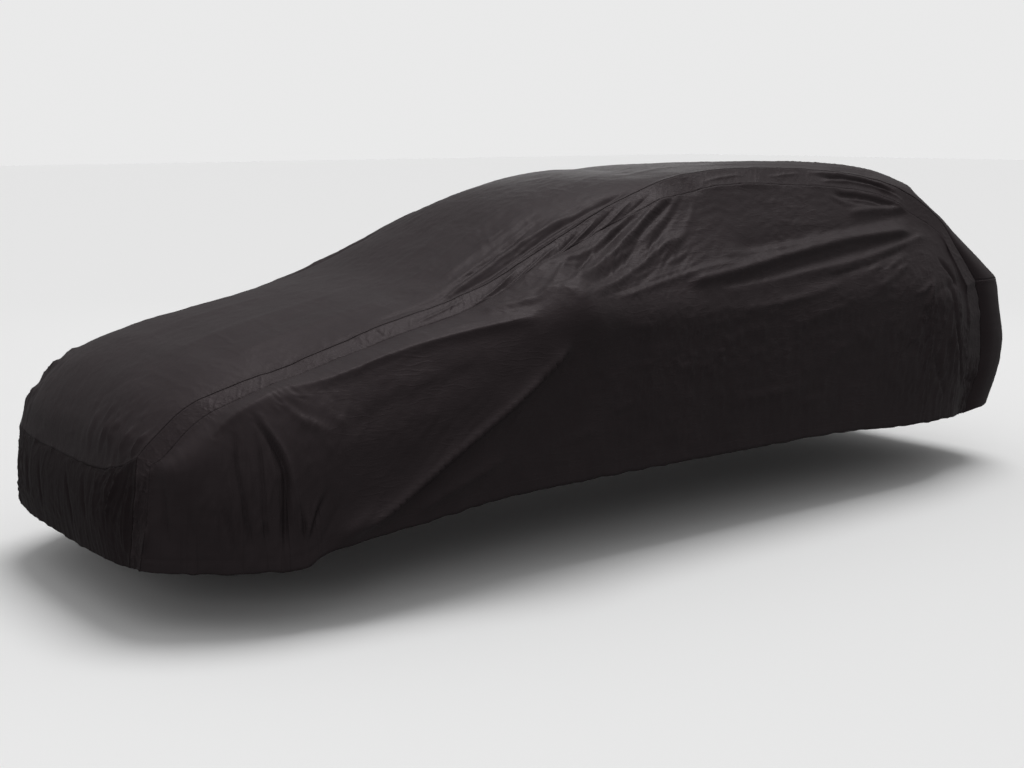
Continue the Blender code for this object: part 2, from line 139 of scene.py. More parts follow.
# Long folds, in millimetres. out is how far a fold stands out, or sinks in where negative, and over and under
# are its half widths on the left and on the right of its path. A path's points are y and height.
LEFT_FOLDS = """
name        out over under path
arch         26   62    38 -1720,285 -1512,357 -1362,446 -1216,534 -1013,649 -800,790 -680,900
arch_crest   20   11    14 -1620,305 -1500,362 -1350,452 -1200,543 -1000,657 -820,775 -690,880
arch_fold    15   10    12 -1380,332 -1268,383 -1098,441 -990,486
arch_fork    10   28    30 -1698,303 -1606,348 -1520,395
arch_low     14   40    45 -1400,325 -1268,381 -1098,439 -960,500
break        -7   30    60 -1640,640 -1535,699 -1432,730 -1318,749 -1200,787 -1020,840
roll         12   35    32 -2030,680 -1890,752 -1693,811 -1397,879 -1224,913 -1047,937 -890,959 -790,970
roll_in       4   11    11 -1359,902 -1200,928 -1069,945 -950,962
roll_up       8   16    11 -1020,966 -857,1001 -729,1021 -660,1030
roll_sink    -5   10    10 -960,972 -844,990 -740,1002
roll_edge    11   12    11 -2060,655 -1950,720 -1800,778 -1620,812 -1397,868 -1224,903 -1047,930 -890,952 -780,965
ray_a         6    6     7 -1100,958 -950,982 -820,1002 -700,1018
ray_b        -6    6     6 -1050,972 -920,993 -800,1012 -700,1026
ray_c         6    6     6 -1000,985 -880,1004 -780,1021 -680,1036
tent_a        8   10    10 -900,1005 -780,1035 -680,1075 -600,1120
tent_b       -7    9    10 -860,995 -740,1022 -640,1060 -540,1120
tent_c        8    9     9 -800,1000 -700,1030 -600,1075 -470,1150
tent_d       -7    8     8 -700,1020 -600,1055 -480,1110 -360,1180
tent_e        7    8     8 -660,1020 -560,1060 -440,1125 -300,1200
fan_a         6    8     8 -420,1190 -300,1235 -170,1290 -80,1330
fan_b        -6    8     8 -340,1170 -220,1225 -80,1285 30,1330
fan_c         6    8     8 -300,1130 -180,1185 -60,1240 80,1310
fan_d        -6    8     8 -240,1125 -120,1175 0,1235 120,1300
fan_e         6    8     8 -440,1090 -300,1140 -200,1180
fan_f         6    8     8 -200,1100 -60,1145 80,1210 160,1260
fan_g        -5    7     8 -100,1100 20,1130 140,1180
fan_h         5    7     8 -60,1085 60,1110 180,1150
fan_i        -5    8     8 -360,1075 -200,1100 -60,1140
fan_j         5    7     7 -360,1045 -220,1065 -80,1085 40,1100
tent_rim      9   16    24 -1000,975 -914,989 -746,1020 -657,1016 -560,998
main_a       24   22    19 -640,1020 -560,1052 -394,1120 -154,1228 -7,1306 131,1372 220,1420
main_sink   -11   14    19 -570,1026 -363,1100 -237,1150 -108,1226 90,1328 180,1390
main_b       18   21    16 -600,1000 -407,1054 -203,1118 -53,1176 100,1215
main_b_in    -7   14    16 -520,1005 -286,1058 -146,1098 -20,1130
main_c       11   15    15 -500,995 -398,1013 -206,1044 -101,1059 51,1079 300,1100
left_a       15   21    16 -700,1055 -577,1113 -370,1175 -211,1248 -50,1322 30,1370
left_sink   -10   11    14 -589,1066 -392,1151 -258,1212 -95,1295 30,1355
left_b        8   19    15 -800,1045 -625,1119 -500,1170 -400,1220
left_b_in    -6   11    12 -654,1092 -495,1160 -380,1215
right_a      10   19    17 -160,1180 -132,1196 14,1266 122,1334 220,1400
right_sink   -6   12    14 -191,1148 -75,1195 64,1275 200,1361
right_b       5   16    15 -50,1160 60,1210 170,1280 250,1360
small_a       6   10    11 -260,1085 -111,1110 32,1140 190,1172
small_b       5    8     9 -240,1072 -150,1090 -40,1108
small_c       3    8     9 -20,1112 80,1130 200,1142
long_a       29   40    23 -60,1035 153,1052 354,1075 582,1105 817,1131 1111,1155 1431,1164 1540,1166
long_sink   -13   28    40 80,1008 421,1036 726,1072 1008,1100 1308,1132 1575,1153
long_b       14   25    27 100,995 457,1020 713,1043 979,1061 1283,1101 1660,1150
long_b_in    -8   13    16 600,990 951,1027 1178,1059 1470,1111
long_c        7   13    13 500,1138 842,1160 1112,1170
long_d        5   13    13 200,1130 450,1136 700,1150
upper_sink  -15   45    42 300,1148 607,1173 923,1195 1213,1217 1477,1240 1600,1245
upper_roll   16   22    24 1120,1262 1240,1268 1379,1272 1548,1268 1610,1250
pocket      -15   15    15 1080,1352 1180,1338 1300,1325 1440,1300 1550,1268
pocket_in     9    9    10 1120,1335 1220,1322 1340,1308 1460,1282
pocket_up     8    9    10 1100,1366 1220,1356 1360,1338 1500,1305
pocket_low   -8   10    10 1160,1312 1280,1300 1400,1286 1520,1262
pocket_end   10   12    12 1440,1325 1520,1290 1580,1255
pocket_lip    6    8    13 1060,1368 1117,1322 1217,1300 1360,1292
crease_a     11   13    21 1040,945 1161,963 1300,1013 1410,1040
crease_b      7   11    14 1060,975 1180,1010 1300,1045 1420,1075
crease_c      5   10    11 980,985 1100,1020 1220,1050
patch_a      -3    7     7 853,1385 854,1342 881,1316 930,1310
patch_b      -3    7     7 1072,1370 1086,1320 1174,1293
patch_c      -2    7     7 631,1385 606,1337 619,1288 660,1262 800,1262
cross_seam   -4    7     7 -780,1055 -797,1038 -820,1012
belt_a        6   13    14 -460,915 -340,905 -220,893
belt_b        9   14    17 200,915 363,922 432,929 620,944 900,985
belt_c        9   21    25 420,805 560,828 702,860 950,900
belt_d        7   16    17 160,818 280,834 400,840
door_a        7   12    13 -360,735 -290,758 -210,785
door_b        7    9    10 -170,745 -90,715 -10,675
door_c        6   10    12 -160,612 -90,592 -20,570
door_d        9   12    14 180,562 360,550 544,563 660,580
door_e        7   10    12 560,482 650,494 760,500
door_f        7   14    14 -500,585 -400,602 -310,632
door_g        7   13    14 700,640 840,700 960,730
door_h        6   12    13 -750,500 -620,510 -500,540
flank_a       8    7     8 1290,640 1330,690 1390,750
flank_b      10    8    10 1330,898 1432,915 1530,958
flank_c      10   11    12 1570,990 1510,930 1460,860 1450,790
flank_d     -14   12    15 1620,1060 1700,960 1730,880
pillar_a    -14   14    16 1600,930 1664,897 1670,777 1720,647 1780,487 1800,380
pillar_b    -10   14    16 1500,700 1520,600 1568,502 1660,360
tail_break   -6   16    30 1470,905 1600,918 1700,925 1800,930
groove_a    -20    9    12 -1912,750 -1900,695 -1873,640 -1855,584 -1848,521 -1854,438 -1863,260
groove_a_in  13   11    15 -1890,750 -1875,680 -1842,600 -1824,493 -1812,374 -1803,270
groove_b    -13    7     7 -1973,710 -1989,576 -1981,483 -1971,388 -1950,250
groove_b_in   6    7     9 -1955,600 -1958,480 -1945,388 -1926,270
groove_c    -10    7     7 -1920,720 -1917,619 -1920,502 -1917,250
groove_d    -10    7     7 -2040,480 -2020,371 -1998,250
groove_e    -12    7     7 -1695,500 -1745,414 -1778,342 -1802,260
groove_f    -10    6     6 -1818,450 -1803,384 -1794,280
groove_g     -7    7     7 -1660,430 -1710,360 -1750,280
groove_h    -10    6     7 -2195,560 -2188,480 -2182,380 -2165,250
groove_i     -7    6     6 -2130,460 -2115,360 -2100,260
pleat_a       9    6     7 -2005,600 -2012,500 -2000,400 -1985,260
pleat_b       9    6     7 -1938,660 -1942,550 -1935,420 -1925,260
pleat_c      10    6     7 -1890,640 -1882,540 -1878,420 -1885,260
pleat_d       9    6     7 -1838,520 -1832,420 -1826,270
pleat_e       8    6     7 -1788,440 -1785,360 -1790,270
pleat_f       8    6     7 -1720,500 -1760,420 -1782,350 -1812,270
pleat_g       8    6     7 -2070,520 -2056,420 -2040,270
wing_a        7   12    13 -1775,724 -1700,668 -1640,652
wing_b        6   10    12 -1645,715 -1620,655
wing_c        5   10    12 -1740,690 -1700,630 -1690,570
wing_d        5   12    12 -1800,750 -1760,700 -1750,660
"""
RIGHT_FOLDS = """
name       out over under path
arch        32   48    70 -1600,300 -1420,400 -1200,560 -950,720 -760,860 -620,980
arch_low    14   40    45 -1320,320 -1180,400 -1000,470 -800,500
roll        12   32    30 -2000,700 -1750,790 -1450,862 -1150,918 -920,952 -780,965
main_a      21   23    20 -640,985 -520,1050 -300,1160 -120,1250 50,1345
main_sink  -10   16    19 -560,1000 -400,1070 -220,1155 -40,1250 100,1340
main_b      17   23    19 -580,975 -360,1040 -140,1115 100,1185 200,1210
main_c      11   18    16 -540,960 -280,1000 0,1035 300,1060
left_a      14   22    18 -720,1030 -560,1110 -360,1185 -200,1260
small_a      6   11    12 -200,1080 -50,1100 120,1140
long_a      20   44    26 100,1020 400,1050 700,1090 1000,1128 1300,1148 1520,1150
long_sink  -12   28    40 200,985 500,1010 850,1055 1200,1100 1560,1130
long_b      10   28    30 340,970 700,1000 1050,1040 1400,1090 1620,1130
upper_sink -17   27    27 500,1160 850,1190 1200,1215 1550,1240
upper_roll  11   18    18 1000,1270 1240,1275 1480,1262
crease_a     9   12    19 1000,920 1140,945 1280,1000
belt_a       6   26    28 -300,890 -50,900 240,925 500,930
belt_b       6   28    30 500,820 740,860 1000,900
door_a       5   15    17 -400,700 -280,735 -160,740
door_b       5   13    15 50,660 160,630 260,580
door_c       6   18    20 340,530 520,550 720,570
door_d       5   18    18 -620,560 -500,600 -400,640
flank_a      6   12    14 1300,700 1380,760 1470,800
flank_b     -8   18    22 1600,1040 1680,950 1720,860
pillar_a    -9   18    20 1620,900 1680,760 1740,600 1780,400
pillar_b    -7   18    20 1500,660 1560,540 1640,380
groove_a   -14   18    22 -1930,750 -1900,660 -1870,560 -1870,420 -1880,260
groove_b   -10   14    14 -2040,660 -2030,520 -2010,380 -1990,250
groove_c    -9   14    14 -1750,600 -1770,480 -1800,360 -1820,260
groove_d    -8   13    13 -2150,540 -2140,420 -2120,280
groove_e    -7   14    14 -1660,460 -1710,360 -1740,280
wing_a       6   13    14 -1720,720 -1650,680 -1570,680
"""
# Folds of the top panel, with x and y as seen from above.
TOP_FOLDS = """
name      out over under path
screen_a   -8   14    16 570,-1340 563,-1212 548,-1032 505,-872 477,-776 450,-600 420,-420
screen_b   12   18    20 560,-1020 535,-888 515,-774 492,-641 480,-473 462,-300
screen_c  -18   20    22 582,-1200 570,-980 553,-800 530,-620 512,-460 495,-280 485,-140 478,-20
screen_d   12   12    14 572,-800 556,-620 538,-440 522,-280 505,-140
screen_e   -8   10    12 575,-700 560,-550 542,-400 528,-260
screen_i    6    8     8 560,-900 538,-720 515,-560 498,-420
screen_j    6    8     8 500,-980 475,-820 448,-660 430,-500
screen_k   -6    8     8 520,-1000 498,-860 474,-700 455,-540
screen_l    5    8     8 548,-440 530,-300 515,-180 500,-60
screen_m   -5    7     8 470,-480 458,-320 452,-180
screen_f    6   26    26 450,-1000 400,-800 360,-600 330,-420
screen_g    5   30    30 330,-1040 280,-820 250,-600 220,-400
screen_h    4   26    26 120,-1020 100,-800 60,-560
bonnet_a    5   50    50 460,-1860 430,-1600 420,-1360 440,-1140
bonnet_b    5   50    55 260,-1980 220,-1700 180,-1400 160,-1120
bonnet_c    4   50    50 -60,-1960 -100,-1660 -120,-1340
bonnet_d   -4   50    50 360,-1950 330,-1680 300,-1380
screen_r1 -10   18    20 -560,-1260 -540,-1040 -505,-840 -470,-620
screen_r2  10   18    20 -560,-1020 -530,-800 -500,-580 -480,-360
screen_r3 -14   20    22 -572,-920 -545,-700 -515,-460 -490,-220
bonnet_r1   5   50    50 -420,-1940 -380,-1660 -360,-1340
header    -10  120   120 420,100 100,200 -450,320
lip_a      10    8    10 200,-2262 210,-2235 200,-2200
lip_b      12    8    10 290,-2262 310,-2235 320,-2200
lip_c      13    8    10 370,-2260 360,-2230 370,-2190
lip_d      13    8    10 440,-2255 460,-2225 470,-2180
lip_e      13    8    10 520,-2245 530,-2210 550,-2170
far_a      14   16    18 -600,-2225 -540,-2190 -460,-2190
far_b      12   18    18 -620,-2150 -540,-2110 -440,-2100
far_c      10   20    20 -620,-2050 -560,-2020 -480,-2020
roof_a      4   40    40 300,-20 280,400 300,900 340,1300
roof_b      4   40    40 -260,50 -240,550 -280,1100
roof_c     -8   20    24 420,1200 440,1420 500,1580
roof_d      7   18    20 360,1260 390,1460 450,1620
roof_e     -7   20    24 -440,1300 -470,1480 -540,1620
tail_a     10   30    30 620,1660 440,1780 200,1840
tail_b     -8   30    30 -600,1680 -400,1800 -160,1860
"""
# Folds of the two ends, with x and height.
NOSE_FOLDS = """
name     out over under path
fine_a    -3    7     7 555,580 548,500 538,420 530,330 532,250
fine_b     7    6     6 530,560 522,490 512,420 500,340 498,260
fine_c    -3    6     7 485,550 474,490 462,430 448,360
fine_d     5    5     6 430,550 418,500 402,440 392,370 388,300
fine_e    -3    6     6 405,460 398,400 400,340 410,270
fine_f     4    6     7 345,530 330,460 322,380 325,300
fine_g    -2    7     7 300,520 290,440 286,360
corner_a  -3    8    10 445,570 410,530 376,482 366,441 359,400 353,300
corner_b  -6   10    11 545,590 520,530 508,471 490,430 465,360 455,280
corner_c   8    9     9 500,575 470,520 452,471 430,420 415,330
corner_d  -3    8     8 455,360 448,290 452,220
corner_e   7    7     9 548,550 538,480 525,410 515,300 520,220
corner_f  -3    8     8 -455,520 -430,460 -410,400 -400,300
corner_g  -5   10    10 -530,520 -515,440 -495,360 -485,260
pleat_a   -6    9     9 -205,500 -195,410 -178,330 -175,240
pleat_b   -6    9     9 50,500 75,450 115,360 125,260
pleat_c   -6   11    11 -340,480 -330,380 -315,280
pleat_d   -6   11    11 220,500 235,420 260,300
"""
TAIL_FOLDS = """
name    out over under path
pleat_a -10   18    20 740,880 735,740 720,580 700,360
pleat_b  -8   18    18 620,880 615,700 600,500 590,340
pleat_c   7   22    22 450,860 450,660 440,400
pleat_d  -8   18    18 -720,880 -710,700 -700,460 -680,340
pleat_e   7   22    22 -550,860 -560,640 -550,380
pleat_f  -6   22    22 -300,840 -300,600 -290,360
pleat_g   6   22    22 120,860 130,620 120,380
"""
# Folds of the left strip: y, and the distance down from the upper seam.
STRIP_FOLDS = """
name    out over under path
rake_a   10   10    10 -980,80 -820,50 -660,12
rake_b   -9    9    10 -940,85 -760,60 -600,30 -520,10
rake_c   11   10     9 -780,85 -620,56 -460,20
rake_d  -10   10    10 -720,90 -520,62 -340,22
rake_e   11   10     9 -580,90 -420,60 -240,18
rake_f   -9   10    10 -460,88 -280,50 -140,20
rake_g    9   10    10 -360,90 -200,62 -40,22
rake_h   -8   10    10 -220,90 -80,70 60,40
rake_i    6   10    10 -1240,60 -1080,40 -920,20
ridge_a  10   12    12 1000,30 1160,20 1360,18 1580,26
sink_a  -11   10    10 1060,50 1240,42 1420,40 1600,48
ridge_b   9   12    10 1040,80 1220,68 1420,66 1600,70
ridge_c   5   10    10 720,60 880,40 1000,30
ridge_d   4   10    10 300,70 460,50 620,45
cross_a  -3    5     5 -1345,0 -1335,70
cross_b  -3    5     5 1880,0 1830,100
"""

# Patches of crinkles: the middle of an oval patch and its half sizes, the direction of the crinkles in
# degrees, how long and how wide one is, and how far they stand out.
LEFT_CRINKLES = """
name       a     b    reach_a reach_b angle long wide  out
doors_low  0.30  0.58 1.00    0.22    8     .110 .028  .0062
doors_mid  0.30  0.80 0.90    0.16    14    .120 .026  .0084
doors_fold 0.55  0.95 0.90    0.12    9     .220 .040  .0050
doors_back -.10  0.66 0.45    0.20    -28   .090 .026  .0060
above_hem  0.20  0.38 1.10    0.10    5     .120 .036  .0034
flank      1.42  0.72 0.34    0.30    62    .110 .024  .0105
rear       1.62  0.62 0.22    0.30    84    .240 .026  .0120
flank_up   1.20  0.98 0.35    0.12    28    .100 .028  .0060
window     0.70  1.20 0.60    0.12    9     .200 .024  .0058
window_up  0.35  1.30 0.40    0.06    14    .120 .028  .0030
roof_edge  0.85  1.34 0.60    0.07    4     .070 .026  .0042
tent       -.30  1.14 0.36    0.14    26    .120 .014  .0056
fan        -.12  1.18 0.26    0.10    29    .160 .015  .0070
tent_foot  -.86  1.03 0.18    0.06    20    .140 .015  .0036
tent_back  -.44  1.05 0.20    0.06    15    .140 .014  .0060
wing       -1.60 0.68 0.26    0.12    -38   .070 .022  .0064
wing_up    -1.25 0.82 0.50    0.08    12    .160 .032  .0034
arch       -1.10 0.52 0.50    0.22    42    .180 .036  .0056
front      -2.02 0.48 0.24    0.20    84    .180 .030  .0056
"""
RIGHT_CRINKLES = """
name       a     b    reach_a reach_b angle long wide  out
doors_low  0.20  0.58 1.00    0.22    10    .110 .042  .0042
doors_mid  0.40  0.80 0.90    0.16    8     .120 .040  .0036
doors_fold 0.60  0.95 0.90    0.12    10    .220 .040  .0046
above_hem  0.10  0.38 1.10    0.10    4     .120 .036  .0034
flank      1.40  0.72 0.34    0.30    58    .110 .040  .0044
window     0.60  1.24 0.60    0.10    8     .120 .030  .0030
roof_edge  0.80  1.34 0.60    0.07    4     .070 .026  .0036
tent       -.30  1.12 0.36    0.14    34    .120 .026  .0042
wing       -1.65 0.66 0.26    0.12    -34   .070 .024  .0040
arch       -1.10 0.54 0.50    0.22    40    .180 .044  .0032
front      -2.00 0.48 0.24    0.20    86    .160 .030  .0030
"""
TOP_CRINKLES = """
name       a     b    reach_a reach_b angle long wide  out
nose_left  0.36  -2.20 0.24   0.06    78    .060 .018  .0080
nose_right -.48  -2.14 0.12   0.10    98    .080 .034  .0100
bonnet     0.00  -1.60 0.60   0.40    88    .260 .060  .0015
scuttle    0.20  -1.05 0.50   0.22    96    .200 .040  .0030
screen     0.42  -0.60 0.16   0.42    100   .160 .026  .0060
screen_mid 0.10  -0.60 0.40   0.32    98    .200 .050  .0024
screen_r   -.30  -0.60 0.40   0.32    82    .160 .034  .0040
header     0.15  -0.15 0.50   0.16    92    .120 .034  .0030
roof       0.00  0.70  0.55   0.70    90    .260 .060  .0030
roof_rear  0.25  1.50  0.40   0.22    60    .110 .034  .0050
roof_back  -.25  1.50  0.40   0.22    120   .110 .034  .0050
slope      0.00  1.95  0.70   0.22    88    .140 .036  .0034
"""
NOSE_CRINKLES = """
name       a     b    reach_a reach_b angle long wide  out
left       0.42  0.46 0.12    0.16    76    .080 .022  .0060
right      -.46  0.40 0.12    0.14    100   .070 .020  .0050
middle     0.00  0.38 0.45    0.20    88    .200 .022  .0014
"""
TAIL_CRINKLES = """
name       a     b    reach_a reach_b angle long wide  out
left       0.60  0.62 0.24    0.30    86    .200 .026  .0036
right      -.60  0.62 0.24    0.30    94    .200 .026  .0036
middle     0.00  0.62 0.60    0.30    90    .240 .034  .0026
"""

# ---------------------------------------------------------------- the form


def table(text):
    """The named columns of a table, as lists."""
    head, *rows = [line.split() for line in text.strip().splitlines()]
    return {
        name: [row[i] if name == "name" else float(row[i]) for row in rows]
        for i, name in enumerate(head)
    }


def joined(first, second):
    """Two tables one after the other, with the columns they share."""
    return {name: first[name] + second[name] for name in first if name in second}


def glide(values, at):
    """A smooth curve through rows numbered 0, 1, 2..., read at the places in at: between two rows it is a
    cubic that leaves each row along the line between that row's neighbours."""
    values = np.asarray(values, float)
    at = np.clip(np.asarray(at, float), 0, len(values) - 1)
    slope = np.gradient(values, axis=0)
    row = np.minimum(at.astype(int), len(values) - 2)
    f = (at - row).reshape(at.shape + (1,) * (values.ndim - 1))
    start = (1 + 2 * f) * (1 - f) ** 2 * values[row] + f * (1 - f) ** 2 * slope[row]
    end = f * f * (3 - 2 * f) * values[row + 1] + f * f * (f - 1) * slope[row + 1]
    return start + end


def points(rows, columns, at):
    """The named columns of a table side by side, each glided through its rows."""
    return glide(np.stack([rows[name] for name in columns], axis=-1), at)


def stations(steps):
    """Places along a table, with the given number of mesh steps between each row and the next."""
    parts = [row + np.arange(count) / count for row, count in enumerate(steps)]
    return np.append(np.concatenate(parts), len(steps))


def smooth(share):
    """A step from 0 to 1 that starts and ends level: s^2 * (3 - 2s)."""
    share = np.clip(share, 0, 1)
    return share * share * (3 - 2 * share)


def run_along(line):
    """How far along a line of points each of them lies."""
    return np.append(0, np.cumsum(np.linalg.norm(np.diff(line, axis=0), axis=-1)))


TOP_ROWS, SIDE_ROWS = table(TOP), table(SIDE)
NOSE_ROWS = joined(table(FRONT), {name: values[:1] for name, values in TOP_ROWS.items()})
TAIL_ROWS = joined({name: values[-1:] for name, values in TOP_ROWS.items()}, table(REAR))
SPANS = len(TOP_ROWS["name"]) - 1
TOP_STEPS, SIDE_STEPS = ([int(count) for count in rows["steps"][:-1]] for rows in (TOP_ROWS, SIDE_ROWS))


def drop_along(rows, at):
    """How much lower the right-hand seams hang. Below the nose and tail seams this fades out to the hem."""
    if rows is TOP_ROWS:
        return points(TOP_ROWS, ("drop",), at)[:, 0]
    share = at / (len(rows["name"]) - 1)
    return TOP_ROWS["drop"][0] * share if rows is NOSE_ROWS else TOP_ROWS["drop"][-1] * (1 - share)


def seam(rows, columns, at, hand):
    """A seam of one of the strips. The right-hand one is the left-hand one mirrored and hung lower."""
    x, y, h = points(rows, columns, at).T
    lower = drop_along(rows, at) if hand == RIGHT else 0
    return np.stack([hand * x, y, h - lower], axis=-1)


def band(rows, at, across):
    """A stretch of the middle band: point = middle + (edge - middle) * (1 - (1 - |s|^p)^q), with s running
    from the right edge to the left one and x in proportion to s."""
    middle = points(rows, ("y0", "h0"), at)[:, None]
    right = seam(rows, UPPER, at, RIGHT)[:, None]
    left = seam(rows, UPPER, at, LEFT)[:, None]
    p, q = points(rows, ("p", "q"), at).T[:, :, None]
    s = across[None, :]
    share = 1 - (1 - np.abs(s) ** p) ** q
    edge = np.where(s[..., None] < 0, right, left)
    y_and_h = middle + (edge[..., 1:] - middle) * share[..., None]
    x = edge[..., 0] * np.abs(s)
    return np.concatenate([x[..., None], y_and_h], axis=-1)


def side(hand, along, up):
    """A side panel: each section is a smooth curve through its hem, belt, shoulder and seam, which lie on
    one straight line as seen from the side."""
    top = seam(TOP_ROWS, LOWER, along, hand)
    xh, yh, hh, xb, hb, xs, hs = points(SIDE_ROWS, ("xh", "yh", "hh", "xb", "hb", "xs", "hs"), along).T
    lean = (top[:, 1] - yh) / (top[:, 2] - hh)
    hem = np.stack([hand * xh, yh, hh], axis=-1)
    belt = np.stack([hand * xb, yh + lean * (hb - hh), hb], axis=-1)
    shoulder = np.stack([hand * xs, yh + lean * (hs - hh), hs], axis=-1)
    return glide(np.stack([hem, belt, shoulder, top]), up).transpose(1, 0, 2)


def normals(grid):
    """The unit normal at each point of a grid, away from the inside of the cover."""
    normal = np.cross(np.gradient(grid, axis=0), np.gradient(grid, axis=1))
    normal /= np.linalg.norm(normal, axis=-1, keepdims=True)
    outwards = grid.mean(axis=(0, 1)) - (0, 0, ROOF / 2)
    return normal * np.sign(normal.mean(axis=(0, 1)) @ outwards)


# ---------------------------------------------------------------- folds, crinkles and gathers

LATTICE = np.random.default_rng(11).random((64, 64)) * 2 * math.pi  # which way a noise slopes at each corner
SEED_APART = 13.7, 7.3  # how far apart the noises of two seeds lie in it
RIDGE, RIDGE_BASE = 0.13, 0.3  # the height of noise over which a ridge dies away, and how deep its foot lies
CREST, STEEP = 0.32, 1.75  # how round a fold's crest is, and how fast its flanks die away
PATH_STEPS = 4
FOLD_REACH = 4.5  # a fold is worked out up to this many half widths from its path
FOLD_ENDS, SHORT_ENDS = 0.12, 0.4  # it rises from nothing over this length at both ends, or share of its own
CRINKLE_BEND = 1.3  # how far a crinkle wanders, in its own widths

# How far a relief stands out, and how large one of its dents is along the piece and up it. BEND, DRIFT and
# SWAY don't stand out: they bend the lines of the others, by a share of a dent.
Relief = namedtuple("Relief", "out along up")
BEND, SWELL = Relief(0.5, 0.3, 0.3), Relief(0.004, 0.45, 0.35)
DENTS, SMALL = Relief(0.0022, 0.13, 0.11), Relief(0.0016, 0.075, 0.06)
# The hem's gathers, with the heights over which they die away, and the crease along its casing.
DRIFT = Relief(0.5, 0.2, 0.25)
PLEATS, PLEATS_FADE = Relief(0.007, 0.055, 0.6), 0.20
FINE_PLEATS, FINE_FADE = Relief(0.0034, 0.021, 0.3), 0.16
CASING_SINK, CASING_CREASE = 0.002, 0.006
HEM_WAVER, WAVER_FADE = Relief(0.006, 0.09, 0.09), 0.05
# The strips: puckers that lean one way, fine ones that lean the other, and at the corners of the cover
# upright pleats that sway and a crumple across them.
LEANING, LEANING_RUN = Relief(0.0022, 0.042, 0.09), 0.05
CROSSING, CROSSING_RUN = Relief(0.0006, 0.026, 0.12), -0.10
SWAY, UPRIGHT = Relief(0.4, 0.2, 0.1), Relief(0.013, 0.020, 0.16)
CRUMPLE, CRUMPLE_RAKE = Relief(0.008, 0.030, 0.055), (0.4, 0.5)
CORNER_TOP, CORNER_FADE = 0.62, 0.2
PUFF = 0.6  # how full a strip is across: the lower, the flatter on top
CALM, LIVELIER, LIVELY_RUN = 0.45, 0.8, 0.35  # its puckers' least height, what is added, and over which length


def noise(u, v, seed):
    """Gradient noise from about -0.7 to 0.7: each corner of a unit lattice slopes its own way, and the four
    slopes round a place are joined by quintic steps."""
    u, v = u + SEED_APART[0] * seed, v + SEED_APART[1] * seed
    i, j = np.floor(u).astype(int), np.floor(v).astype(int)
    f, g = u - i, v - j

    def corner(a, b):
        turn = LATTICE[(i + a) % len(LATTICE), (j + b) % len(LATTICE)]
        return np.cos(turn) * (f - a) + np.sin(turn) * (g - b)

    across, up = (t**3 * (t * (6 * t - 15) + 10) for t in (f, g))
    low = corner(0, 0) * (1 - across) + corner(1, 0) * across
    high = corner(0, 1) * (1 - across) + corner(1, 1) * across
    return low * (1 - up) + high * up


def ridges(u, v, seed):
    """Ridges along the lines where a noise is nought: exp(-(noise / RIDGE)^2) times an uneven height from 0 to
    1, less RIDGE_BASE, so that the cloth sinks between them."""
    line = np.exp(-((noise(u, v, seed) / RIDGE) ** 2))
    return line * np.clip(0.55 + 1.1 * noise(0.6 * u, 0.6 * v, seed + 31), 0, 1) - RIDGE_BASE


def relief(pattern, shape, u, v, seed, bend_u=0, bend_v=0):
    """How far a relief stands out: out * pattern(u / along, v / up), its lines bent as asked."""
    return shape.out * pattern(u / shape.along + bend_u, v / shape.up + bend_v, seed)


def walk(places, path):
    """How far along a path the nearest point of it lies, how far to its left each place is, and the path's
    length. The path is a smooth curve through its points, taken in short straight steps."""
    knots = glide(path, np.linspace(0, len(path) - 1, PATH_STEPS * (len(path) - 1) + 1))
    steps = np.diff(knots, axis=0)
    sizes = np.hypot(*steps.T)
    nearest = np.full(places.shape[:-1], np.inf)
    along, off = np.zeros_like(nearest), np.zeros_like(nearest)
    for knot, step, size, before in zip(knots, steps, sizes, np.cumsum(sizes) - sizes):
        away = places - knot
        share = np.clip(away @ step / size**2, 0, 1)
        distance = np.linalg.norm(away - share[..., None] * step, axis=-1)
        left = step[0] * away[..., 1] - step[1] * away[..., 0]
        closer = distance < nearest
        nearest = np.where(closer, distance, nearest)
        along = np.where(closer, before + share * size, along)
        off = np.where(closer, np.copysign(distance, left), off)
    return along, off, sizes.sum()


def folded(places, text):
    """How far the cloth stands out: the sum of the folds of a table, each of them
    out * exp(-STEEP * (sqrt(x^2 + CREST^2) - CREST)), with x the distance to its path in half widths."""
    total = np.zeros(places.shape[:-1])
    for line in text.strip().splitlines()[1:]:
        out, over, under, *path = np.array(line.replace(",", " ").split()[1:], float) / 1000
        path = np.reshape(path, (-1, 2))
        reach = FOLD_REACH * max(over, under)
        near = np.all((places > path.min(axis=0) - reach) & (places < path.max(axis=0) + reach), axis=-1)
        along, off, length = walk(places[near], path)
        x = np.where(off > 0, off / over, off / under)
        ends = min(FOLD_ENDS, SHORT_ENDS * length)
        rise = smooth(along / ends) * smooth((length - along) / ends)
        total[near] += out * rise * np.exp(-STEEP * (np.hypot(x, CREST) - CREST))
    return total


def crinkled(places, text):
    """How far the crinkles of a table's patches stand out: ridges stretched along each patch's direction,
    a little bent, and faded out from the middle of the patch."""
    total = np.zeros(places.shape[:-1])
    for seed, (_, a, b, reach_a, reach_b, angle, long, wide, out) in enumerate(zip(*table(text).values())):
        x, y = places[..., 0] - a, places[..., 1] - b
        window = np.exp(-((x / reach_a) ** 2) - (y / reach_b) ** 2)
        turn = math.radians(angle)
        u = (x * math.cos(turn) + y * math.sin(turn)) / long
        v = (y * math.cos(turn) - x * math.sin(turn)) / wide
        v = v + CRINKLE_BEND * noise(0.5 * u, 0.25 * v, seed + 5)
        total += out * window * ridges(u, v, seed)
    return total


